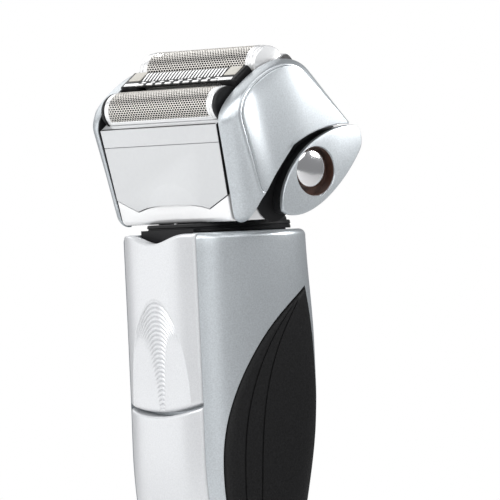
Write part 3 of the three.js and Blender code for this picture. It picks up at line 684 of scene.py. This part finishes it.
def neck():
    stack = [(BODY_TOP + 0.3, 15.3, -17.2, 14.2), (110.9, 15.3, -17.2, 14.2), (111.1, 15.1, -17.1, 13.8),
             (111.35, 15.1, -17.1, 13.8), (111.55, 15.3, -17.2, 14.1), (112.2, 15.2, -17.1, 14.0),
             (112.36, 14.9, -17.0, 13.6), (112.42, 13.4, -16.6, 5.4), (112.9, 13.3, -16.5, 4.4),
             (113.2, 13.0, -16.5, 4.0),
             (113.6, 12.2, -16.3, 2.0), (114.6, 11.8, -16.25, 1.0), (115.0, 11.5, -16.2, 0.4)]
    rings = []
    for z, half, low, high in stack:
        angle = 2 * math.pi * (np.arange(120) + 0.5) / 120
        c, s = np.cos(angle), np.sin(angle)
        x = half * np.sign(c) * np.abs(c) ** 0.5
        y = (low + high) / 2 + (high - low) / 2 * np.sign(s) * np.abs(s) ** 0.5
        rings.append(np.column_stack((x, y, np.full(120, z))))
    hole = block(-10.5, 10.5, PIVOT[1] - 7.5, PIVOT[1] + 7.5, BODY_TOP, 120)
    tongue = block(-11.4, 11.4, 9.3, PANEL_FLOOR - 0.3, 106.7, BODY_TOP + 1)
    made = cut(join(loft(rings), tongue), hole)
    place(made, "collar", "handle", LOOK["soft_black"], ["neck_collar"], edge=0.15)
    post = block(-10.2, 10.2, PIVOT[1] - 7.2, PIVOT[1] + 7.2, 99.4, PIVOT[2])
    post = join(post, rod("x", 7.2, -10.2, 10.2, (PIVOT[1], PIVOT[2]), 0.6, 0.6))
    post = cut(post, rod("x", 2.3, -FAR, FAR, (PIVOT[1], PIVOT[2])))
    for x in (-6, -2, 2, 6):
        post = cut(post, block(x - 0.35, x + 0.35, -FAR, FAR, 116.4, 119.2))
    place(post, "bracket", "handle", LOOK["black"], ["neck_bracket"], edge=0.25)
    axle = rod("x", 2, -22.8, 22.8, (PIVOT[1], PIVOT[2]), 0.3, 0.3)
    place(axle, "tilt_axle", "handle", LOOK["steel"], ["pivot_axle"])


# ---- head pieces ------------------------------------------------------------------------------------------


def head_outline():
    pen = Pen(10.6, 26.1).line(21.4, 4.9)
    pen.curve((21.9, 3.4), (20.2, 2.6)).curve((14, -2), (9, -7.4), (0, -7.4), steps=24)
    pen.curve((-9, -7.4), (-20.6, -6.4), (-20.4, -0.6), steps=24).line(-18.9, 23.6)
    pen.curve((-18.8, 26.1), (-16.6, 26.1))
    return pen.closed()


def head_hollow(half):
    pen = Pen(8.3, 30).line(8.3, 27).line(19.6, 5)
    pen.curve((12.6, -0.6), (8, -5.8), (0, -5.8)).curve((-8, -5.8), (-18.9, -5), (-18.9, 0))
    return prism("x", pen.line(-17.6, 24).line(-17.6, 30).closed(), -half, half)


def cassette_region(margin):
    low = 7.0 - margin
    shoulder = 9.8 - margin
    pen = Pen(-FAR, 60).line(-FAR, shoulder).line(-CASSETTE_HALF + 0.2, shoulder).line(-16.4, low)
    pen.curve((0, low + 3.2), (16.4, low), steps=40)
    pen.line(CASSETTE_HALF - 0.2, shoulder).line(FAR, shoulder).line(FAR, 60)
    return prism("y", pen.closed(), -FAR, FAR)


def cassette():
    """The lift-off frame: polished walls with a fine line across the back and a shallow finger ledge."""
    walls = cut(prism("x", head_outline(), -CASSETTE_HALF, CASSETTE_HALF, 0.3, 0.3), head_hollow(24.2))
    walls = common(join(walls, finger_ledge()), cassette_region(0))
    walls = cut(walls, block(-FAR, FAR, -15.6, 10.5, -10, 12))
    line = Pen(*on_back(LINE_Z, 0.4)).line(*on_back(LINE_Z, -1))
    line.line(*on_back(LINE_Z + 0.2, -1)).line(*on_back(LINE_Z + 0.2, 0.4))
    walls = cut(walls, prism("x", line.closed(), -FAR, FAR))
    walls = cut(walls, block(-24.9, 24.9, 9.95, 10.45, RIM_Z - 0.5, RIM_Z + 1))
    place(walls, "cassette_shell", "cassette", LOOK["satin"], ["cassette_frame"],
          True, True, edge=0.12)
    seal = block(-24.8, 24.8, 9.98, 10.42, RIM_Z - 0.48, RIM_Z - 0.05)
    place(seal, "cassette_seal", "cassette", LOOK["black"], (), True, True)
    angle = np.linspace(-0.4, math.pi + 0.4, 44)
    for side, label in ((1, "left"), (-1, "right")):
        # A thin black sheet on each end of the cassette: painted shade for the dark gap between the cassette
        # and the cheek.
        gap_shade_sheet = common(prism("x", inset(head_outline(), 0.16), CASSETTE_HALF, CASSETTE_HALF + 0.12),
                        cassette_region(0.1))
        pieces = [(gap_shade_sheet, "gap_shade_sheet", "black_plastic", "black")]
        for foil_label, middle in FOIL_Y.items():
            ring = np.column_stack((middle + 4.7 * np.cos(angle), FOIL_Z + 4.55 * np.sin(angle)))
            end = prism("x", ring, FOIL_HALF + 0.12, 24.9, 0.1, 0.5)
            # The rear foil's end rings are black as painted shade for the dark crescent between the rear cap
            # and the cheek; the front ones are pearl like the caps.
            slot, look = ("black_plastic", "black") if foil_label == "rear" else ("gloss_silver", "pearl")
            pieces.append((end, f"{foil_label}_ring", slot, look))
        for made, kind, slot, look in pieces:
            if side < 0:
                mirrored(made)
            place(made, f"cassette_{kind}_{label}", "cassette", LOOK[look], (), True, True)


def on_back(z, depth):
    """A point of the cassette's sloping back at a height, and at a depth under it."""
    return 10.6 + (RIM_Z - z) * BACK_SLOPE - depth, z


def finger_ledge():
    """A wide, very shallow swelling of the back that ends over the bow of the joint line."""
    angle = np.linspace(0, math.pi, 49)
    shares = [1.03, 1.0] + list(np.linspace(0.96, 0.02, 16))
    rings = []
    for share in shares:
        rise = -0.3 if share > 1 else 0.85 * (1 - share**2)
        z = 6.0 + 7.2 * share * np.sin(angle)
        y = 10.6 + (RIM_Z - z) * BACK_SLOPE + rise
        rings.append(np.column_stack((12.6 * share * np.cos(angle), y, z)))
    return loft(rings)


def base():
    tub = cut(prism("x", head_outline(), -CASSETTE_HALF, CASSETTE_HALF, 0.5, 0.5), head_hollow(23.6))
    tub = cut(tub, cassette_region(0.3), prism("z", round_rect(0, 3.3, 16, 14.2, 3), -20, 3.4))
    tub = cut(tub, rod("x", 2.3, -FAR, FAR, (0, 0)))
    place(tub, "head_tub", "head", LOOK["pearl"], ["head_base"], True, True, edge=0.2)
    joint = cut(prism("x", inset(head_outline(), 0.4), -24.8, 24.8), head_hollow(23.6), cassette_region(0.03))
    joint = common(joint, cassette_region(0.28))
    place(joint, "joint_shadow_strip", "head", LOOK["black"], (), True, True)


def cheek_outline(share):
    """The cheek's outline in (y, z), on its inner face (share 0) or round its outer face (share 1)."""
    def at(y0, z0, y1, z1):
        return (y0 + (y1 - y0) * share, z0 + (z1 - z0) * share)

    pen = Pen(*at(-21.4, 1.2, -19.7, 1))
    pen.curve(at(-20.8, 7, -18.7, 7.4), at(-20.2, 12.8, -17.6, 13.9), at(-19.6, 18.6, -16.5, 20.4), steps=10)
    pen.curve(at(-18.8, 26.6, -15.6, 26.6), at(-11, 29.5, -9.8, 29.1), at(-2, 29.5, -2.1, 29.2), steps=26)
    pen.curve(at(5, 29.6, 3.5, 29.3), at(9.4, 28.6, 6.8, 28.1), at(10.8, 25.6, 8.1, 24.6), steps=26)
    pen.curve(at(14.1, 18.9, 9.9, 19.1), at(17.4, 12.2, 11.8, 13.5), at(20.7, 5.6, 13.6, 8), steps=14)
    pen.curve(at(22.0, 3, 14.7, 5.3), at(19.6, 1.6, 13.2, 4.7), steps=10)
    pen.curve(at(14.6, 4.4, 10.8, 6.8), at(10.4, 8.8, 7.4, 8.7), at(2, 8.8, 1.5, 8.6), steps=18)
    pen.curve(at(-6, 8.8, -6, 8.6), at(-12, 7, -11.5, 6.6), at(-18.6, 3.4, -17.4, 3), steps=18)
    return pen.closed()


def drawn_in(path, factor):
    """Draws the outer face's outline in towards its front, so the crease is widest at the back."""
    return CREASE_FROM + (path - CREASE_FROM) * factor


def face_depth(path):
    """How far the outer face lies under its highest level: hollow behind the crease, full in the middle."""
    away = -((path[:, 0] - 12.4) * 0.953 + (path[:, 1] - 8.0) * 0.303)
    return 0.75 * smooth(away / 7.0) * (1 - 0.75 * smooth((away - 7.0) / 13.0))


def on_face(path, lift):
    return np.column_stack((CHEEK_OUT - face_depth(path) + lift, path))


def cheek_envelope():
    """Shell and button in one: a band that leans in towards the cassette, the crease, and the outer face."""
    outer = cheek_outline(1)
    band = [(26.2, 0.02), (26.32, 0.0), (27.2, 0.03), (28.2, 0.1), (29.1, 0.24), (29.8, 0.42), (30.3, 0.6),
            (30.65, 0.78)]
    rings = [lay("x", cheek_outline(share), x) for x, share in band]
    for share, lift in ((0.9, -0.5), (0.97, -0.3), (1.0, -0.17)):
        level = on_face(drawn_in(outer, 0.99), lift)[:, 0]
        rings.append(np.column_stack((level, cheek_outline(share))))
    for factor, lift in ((0.99, -0.07), (0.975, -0.02), (CREASE + 0.003, 0.0), (CREASE, -0.04),
                         (CREASE - 0.007, -0.04), (CREASE - 0.0095, 0.0)):
        rings.append(on_face(drawn_in(outer, factor), lift))
    for factor in np.linspace(CREASE - 0.04, 0.04, 16):
        rings.append(on_face(drawn_in(outer, factor), 0.0))
    return loft(rings)


def cheek(side):
    """The side shell, with a seat for the release button that is deep enough for its travel."""
    seat = prism("x", drawn_in(cheek_outline(1), CREASE), BUTTON_BACK - 1.1, FAR)
    made = cut(cheek_envelope(), seat)
    # A thin black sheet on the cheek's inner face: painted shade for the dark gap between the cheek and the
    # cassette.
    gap_shade_sheet = prism("x", inset(cheek_outline(0), 0.3), CHEEK_IN - 0.14, CHEEK_IN)
    label = "left" if side > 0 else "right"
    if side < 0:
        mirrored(made)
        mirrored(gap_shade_sheet)
    place(made, f"cheek_shell_{label}", "head", LOOK["silver"], [f"cheek_{label}"],
          True, True, sharp=50)
    place(gap_shade_sheet, f"cheek_gap_shade_{label}", "head", LOOK["black"], (), True, True)


def release_face(side):
    """The cheek's outer face, which is the release button: its joint is hidden in the crease."""
    made = common(cheek_envelope(), prism("x", drawn_in(cheek_outline(1), CREASE - 0.007), BUTTON_BACK, FAR))
    label = "left" if side > 0 else "right"
    if side < 0:
        mirrored(made)
    place(made, f"release_face_{label}", f"release_{label}", LOOK["silver"],
          [f"release_button_{label}"], True, True, sharp=50)


def hub_outline():
    pen = Pen(-20.8, -0.2).curve((-17.8, 2.9), (-10.8, 5.3), (-5.5, 5.3), steps=24)
    pen.curve((1.5, 5.3), (8.5, 2.2), (10.5, -2.5), steps=24).curve(
        (9.5, -6.5), (3.5, -9.3), (-4, -9.3), steps=24)
    pen.curve((-10, -9.3), (-15, -8), (-18.6, -6.6), steps=16)
    return pen.curve((-21.4, -5.4), (-22.4, -1.8), (-20.8, -0.2), steps=14).closed()


def hubs():
    """The caps over the pivot, thin plates on cores that are black as painted shade for the dark crescent
    round each cap; the right one holds the lock's recess and knob.
    """
    well = rod("x", LOCK_WELL, CHEEK_IN + 1.2, FAR, LOCK_AT)
    for side, label, pivot in ((1, "left", "pivot_cover"), (-1, "right", "lock_cover")):
        plate = prism("x", inset(hub_outline(), 0.02), 29.7, CHEEK_OUT - 0.3, 0.15, 0.5, steps=7)
        # The core is black as painted shade for the gap round the cap.
        shade_core = prism("x", inset(hub_outline(), 0.35), CHEEK_IN - 0.2, 29.7)
        if side < 0:
            lip = loft([lay("x", circle(*LOCK_AT, LOCK_WELL + grow), x) for x, grow in
                        ((29, 0), (30.7, 0), (30.95, 0.05), (31.2, 0.2), (32, 0.9))])
            mirrored(cut(plate, lip))
            mirrored(cut(shade_core, well))
        place(plate, f"hub_{label}", "head", LOOK["silver"], [pivot], True, True)
        place(shade_core, f"hub_shade_core_{label}", "head", LOOK["black"], (), True, True)
    # The recess's sleeve is coloured with painted shade and a painted thumb reflection.
    sleeve = rod("x", LOCK_WELL - 0.02, CHEEK_IN + 1.22, 30.6, LOCK_AT)
    sleeve = cut(sleeve, rod("x", LOCK_WELL - 0.17, CHEEK_IN + 1.4, 31, LOCK_AT))
    place(mirrored(sleeve), "lock_well", "head", LOOK["well_shade_reflection"], (), True, True)
    profile = [(1.5, 4.95), (3.1, 4.95), (3.35, 4.85), (3.6, 4.55), (3.85, 3.9), (4.1, 2.9),
               (4.25, 1.7), (4.3, 0.3)]
    at = (LOCK_AT[0], LOCK_AT[1] + LOCK_REST)
    knob = loft([lay("x", circle(*at, radius), CHEEK_IN + x) for x, radius in profile])
    place(mirrored(knob), "lock_slider", "lock", LOOK["chrome"], ["lock_knob"],
          True, True, sharp=60)


def arch_point(arc, radius, foot):
    """A point of a foil's section at a distance along it from its rear foot: straight, arch, straight."""
    straight = FOIL_Z - foot
    if arc < straight:
        return radius, foot + arc
    if arc > straight + math.pi * radius:
        return -radius, FOIL_Z - (arc - straight - math.pi * radius)
    angle = (arc - straight) / radius
    return radius * math.cos(angle), FOIL_Z + radius * math.sin(angle)


def foil(label):
    """A sheet bent to an arch with staggered rows of real holes."""
    middle = FOIL_Y[label]
    pitch = 2 * MESH_HALF / MESH_COLUMNS
    foot = 26.9
    length = 2 * (FOIL_Z - foot) + math.pi * FOIL_R
    row_pitch = length / MESH_ROWS
    turns = [math.radians(a) for a in (225, 270, 315, 0, 45, 90, 135, 180)]
    points, faces = [], []

    def add(x, arc):
        y, z = arch_point(min(max(arc, 0), length), FOIL_R - 0.02, foot)
        points.append((x, middle + y, z))
        return len(points) - 1

    for row in range(MESH_ROWS):
        low, high = row * row_pitch, (row + 1) * row_pitch
        shift = pitch / 4 if row % 2 else -pitch / 4
        for column in range(MESH_COLUMNS):
            left = column * pitch - MESH_COLUMNS * pitch / 2 + shift
            xs = (left, left + pitch / 2, left + pitch)
            half_way = (low + high) / 2
            corners = ((xs[0], low), (xs[1], low), (xs[2], low), (xs[2], half_way),
                       (xs[2], high), (xs[1], high),
                       (xs[0], high), (xs[0], half_way))
            outer = [add(x, a) for x, a in corners]
            inner = [add(xs[1] + MESH_HOLE[0] * math.cos(t),
                         half_way + MESH_HOLE[1] * math.sin(t)) for t in turns]
            for i in range(8):
                j = (i + 1) % 8
                faces.append((outer[i], outer[j], inner[j], inner[i]))
    made = solid(points, faces)
    sheet = made.modifiers.new("sheet", "SOLIDIFY")
    sheet.thickness = 0.05
    sheet.offset = -1
    made.data = bpy.data.meshes.new_from_object(made.evaluated_get(bpy.context.evaluated_depsgraph_get()))
    made.modifiers.clear()
    place(made, f"{label}_foil_mesh", f"foil_{label}", LOOK["foil"],
          [f"{label}_foil"], True, sharp=50)


def foil_frame(label):
    """The frame that holds a foil: an arched band and cap at each end, and a rail along each side."""
    middle = FOIL_Y[label]
    arc = np.linspace(0, math.pi, 33)

    def arch(radius, foot):
        curve = [(middle + radius * math.cos(a), FOIL_Z + radius * math.sin(a)) for a in arc]
        return np.array([(middle + radius, foot)] + curve + [(middle - radius, foot)])

    for side, end in ((1, "left"), (-1, "right")):
        band = prism("x", arch(FOIL_R, 23), MESH_HALF - 0.35, MESH_HALF + 0.75, 0.08, 0.08)
        band = cut(band, prism("x", arch(FOIL_R - 0.3, 20), 20, 23.4))
        cap = prism("x", arch(FOIL_R - 0.12, 23), MESH_HALF + 0.6, FOIL_HALF, 0, 0.5, steps=7)
        for made, kind, look in ((band, "band", "pearl"), (cap, "cap", "pearl")):
            if side < 0:
                mirrored(made)
            place(made, f"{label}_foil_{kind}_{end}", f"foil_{label}", LOOK[look], (), True)
    for shift, name in ((1, "back"), (-1, "fore")):
        rail = round_rect(middle + shift * (FOIL_R - 0.14), 25.05, 0.2, 2.05, 0.15)
        place(prism("x", rail, -22.3, 22.3, 0.1, 0.1), f"{label}_foil_rail_{name}", f"foil_{label}",
              LOOK["pearl"], (), True)


def cutter(label):
    """A block of thin arched blades under a foil."""
    middle = FOIL_Y[label]
    arc = np.linspace(0, math.pi, 25)
    radius = FOIL_R - 0.85
    blade = np.array([(middle + radius, 25.2)]
                     + [(middle + radius * math.cos(a), FOIL_Z + radius * math.sin(a)) for a in arc]
                     + [(middle - radius, 25.2)])
    made = prism("x", blade, -20.6, 20.6)
    made = cut(made, block(-2.4, 2.4, middle - 1.7, middle + 1.7, 20, 28.4))
    place(made, f"{label}_cutter_block", f"cutter_{label}", LOOK["dark_steel"],
          [f"{label}_cutter"], True)


def middle_trimmer():
    """A black bar with slanted steel teeth, a plate at each end and a row of hooks along its back edge."""
    half = 2.95
    low, high = MIDDLE_Y - half, MIDDLE_Y + half
    bar = prism("x", np.array(((low, 21), (high, 21), (high, 26.3), (low, 26.3))), -23, 23)
    place(bar, "middle_bar", "middle", LOOK["black"], ["middle_carrier"], True, edge=0.2)
    for side, end in ((1, "left"), (-1, "right")):
        profile = Pen(18.0, 26.25).line(18.0, 30.3).line(18.3, MIDDLE_TOP - 0.1).line(24.2, MIDDLE_TOP - 0.1)
        profile.curve((24.9, MIDDLE_TOP - 0.2), (24.9, 30.0))
        profile.line(24.9, 27.9).line(23.4, 27.9).line(23.4, 26.25)
        tower = prism("y", profile.closed(), low, high, 0.25, 0.25)
        plate = prism("z", round_rect(20.7, MIDDLE_Y - 0.9, 2.5, 1.75, 0.3), MIDDLE_TOP - 0.3,
                      MIDDLE_TOP + 0.05, 0, 0.1)
        strip = prism("z", round_rect(20.4, MIDDLE_Y + 2.3, 3.0, 0.5, 0.2), MIDDLE_TOP - 0.3,
                      MIDDLE_TOP + 0.02, 0, 0.1)
        for made, kind, slot, look in ((tower, "tower", "black_plastic", "black"),
                                       (plate, "plate", "black_plastic", "beige"),
                                       (strip, "strip", "foil_steel", "pearl")):
            if side < 0:
                mirrored(made)
            place(made, f"middle_{kind}_{end}", "middle", LOOK[look], (), True)
    deck = prism("x", round_rect(MIDDLE_Y, 30.3, 2.8, 0.4, 0.3), -18.1, 18.1)
    place(deck, "middle_deck", "middle", LOOK["black"], (), True)
    comb = []
    for k in range(TEETH):
        x = (k - (TEETH - 1) / 2) * 35.2 / TEETH
        rings = []
        for t in np.linspace(-1, 1, 13):
            y = MIDDLE_Y - 0.85 + 2.05 * t
            z = MIDDLE_TOP + 0.02 - 0.5 * max(0, -t) ** 4
            centre = x - 0.55 * t
            wide = 0.36 - 0.06 * t
            rings.append(np.array(((centre - wide, y, z - 0.35), (centre + wide, y, z - 0.35),
                                   (centre + wide, y, z), (centre - wide, y, z))))
        comb.append(loft(rings))
    place(joined(comb), "middle_teeth", "middle", LOOK["bright_steel"], ["middle_comb"], True)
    hooks = []
    for k in range(HOOKS):
        x = (k - (HOOKS - 1) / 2) * 4.0
        hooks.append(prism("z", round_rect(x + 0.3, MIDDLE_Y + 2.45, 1.3, 0.3, 0.15), 30.4,
                           MIDDLE_TOP - 0.05))
        hooks.append(prism("z", round_rect(x - 0.5, MIDDLE_Y + 1.68, 0.9, 0.2, 0.12), 30.4,
                           MIDDLE_TOP - 0.05))
    place(joined(hooks), "middle_hooks", "middle", LOOK["bright_steel"], (), True)


def head():
    base()
    cassette()
    for side in (1, -1):
        cheek(side)
        release_face(side)
    hubs()
    for label in ("rear", "front"):
        foil(label)
        foil_frame(label)
        cutter(label)
    middle_trimmer()


# ---- carried-over nodes, stage, camera --------------------------------------------------------------------


def carried_over():
    looks = {
        "trimmer_comb": "steel", "trimmer_blade": "steel", "socket_insert": "black",
        "socket_pin_right": "brass",
        "socket_pin_left": "brass", "charge_contact_right": "brass", "charge_contact_left": "brass",
        "cap_screw_right": "steel", "cap_screw_left": "steel", "inner_frame": "black", "battery": "cell",
        "circuit_board": "board", "power_switch": "steel", "display_module": "board", "drive_deck": "black",
        "motor_stator": "steel", "motor_coil_left": "copper", "motor_coil_right": "copper",
        "armature_rear": "steel", "armature_front": "steel", "pin_spring_rear": "steel",
        # the side gaskets are black as painted shade for the dark gaps at the cassette's ends
        "pin_spring_front": "steel", "middle_blade": "steel", "side_gasket_left": "black",
        "side_gasket_right": "black",
    }
    for node, look in looks.items():
        kept = frame["nodes"][node]
        kept.data.materials.clear()
        kept.data.materials.append(LOOK[look])


def floor():
    sides = 128
    ring = [(0.62 * math.cos(2 * math.pi * i / sides), 0.62 * math.sin(2 * math.pi * i / sides), 0)
            for i in range(sides)]
    mesh = bpy.data.meshes.new("floor")
    mesh.from_pydata(ring, [], [tuple(range(sides))])
    made = bpy.data.objects.new("floor", mesh)
    scene.collection.objects.link(made)
    mesh.materials.append(material("pale_floor", (0.86, 0.86, 0.86), 0.6, 0.0, (30, 0.05), 0.0, 0.01))


def world():
    made = bpy.data.worlds.new("studio")
    made.use_nodes = True
    tree = made.node_tree
    shade = tree.nodes["Background"]
    shade.inputs["Color"].default_value = (0.75, 0.76, 0.78, 1)
    shade.inputs["Strength"].default_value = 0.32
    plain = tree.nodes.new("ShaderNodeBackground")
    plain.inputs["Color"].default_value = (1, 1, 1, 1)
    plain.inputs["Strength"].default_value = 1.0
    path = tree.nodes.new("ShaderNodeLightPath")
    mix = tree.nodes.new("ShaderNodeMixShader")
    tree.links.new(path.outputs["Is Camera Ray"], mix.inputs["Fac"])
    tree.links.new(shade.outputs["Background"], mix.inputs[1])
    tree.links.new(plain.outputs["Background"], mix.inputs[2])
    tree.links.new(mix.outputs["Shader"], tree.nodes["World Output"].inputs["Surface"])
    scene.world = made


def lamp(name, azimuth, elevation, distance, size, power, target=(0, 0, 0.1)):
    """A square soft light aimed at the shaver's middle, or at a point of it."""
    a, e = math.radians(azimuth), math.radians(elevation)
    target = Vector(target)
    away = Vector((math.sin(a) * math.cos(e), -math.cos(a) * math.cos(e), math.sin(e)))
    data = bpy.data.lights.new(name, "AREA")
    data.size = size
    data.energy = power
    made = bpy.data.objects.new(name, data)
    scene.collection.objects.link(made)
    made.location = target + away * distance
    made.rotation_euler = away.to_track_quat("Z", "Y").to_euler()
    made.visible_camera = False


def camera():
    """A long lens, level with the head, turned a little about its own axis."""
    azimuth, elevation, roll = math.radians(233.7), math.radians(0.2), math.radians(2.5)
    back_way = Vector((math.sin(azimuth) * math.cos(elevation), -math.cos(azimuth) * math.cos(elevation),
                       math.sin(elevation)))
    level = Vector((math.cos(azimuth), math.sin(azimuth), 0))
    upright = back_way.cross(level)
    right = level * math.cos(roll) - upright * math.sin(roll)
    up = level * math.sin(roll) + upright * math.cos(roll)
    aim = Vector((0, 0, 0.110)) + right * 0.00918 - up * 0.00459
    data = bpy.data.cameras.new("camera")
    data.sensor_width = 36
    data.lens = 564.5
    data.clip_end = 50
    made = bpy.data.objects.new("camera", data)
    scene.collection.objects.link(made)
    pose = Matrix((right, up, back_way)).transposed().to_4x4()
    pose.translation = aim + back_way * 2.0
    made.matrix_world = pose
    scene.camera = made


body()
console()
power_button()
keys()
display()
bottom()
neck()
head()
carried_over()
floor()
world()
lamp("key", 175, 38, 0.9, 0.8, 6.4)
lamp("left", 128, 4, 1.0, 0.8, 2.1)
lamp("back", 225, 22, 0.9, 0.5, 2.0)
lamp("side", 275, 35, 0.9, 0.5, 1.8)
lamp("edge", 306, 8, 0.045, 0.026, 0.062, (-0.031, -0.046, 0.149))
lamp("teeth", 82, 35, 0.9, 0.5, 1.1)
camera()
scene.view_settings.view_transform = "Standard"
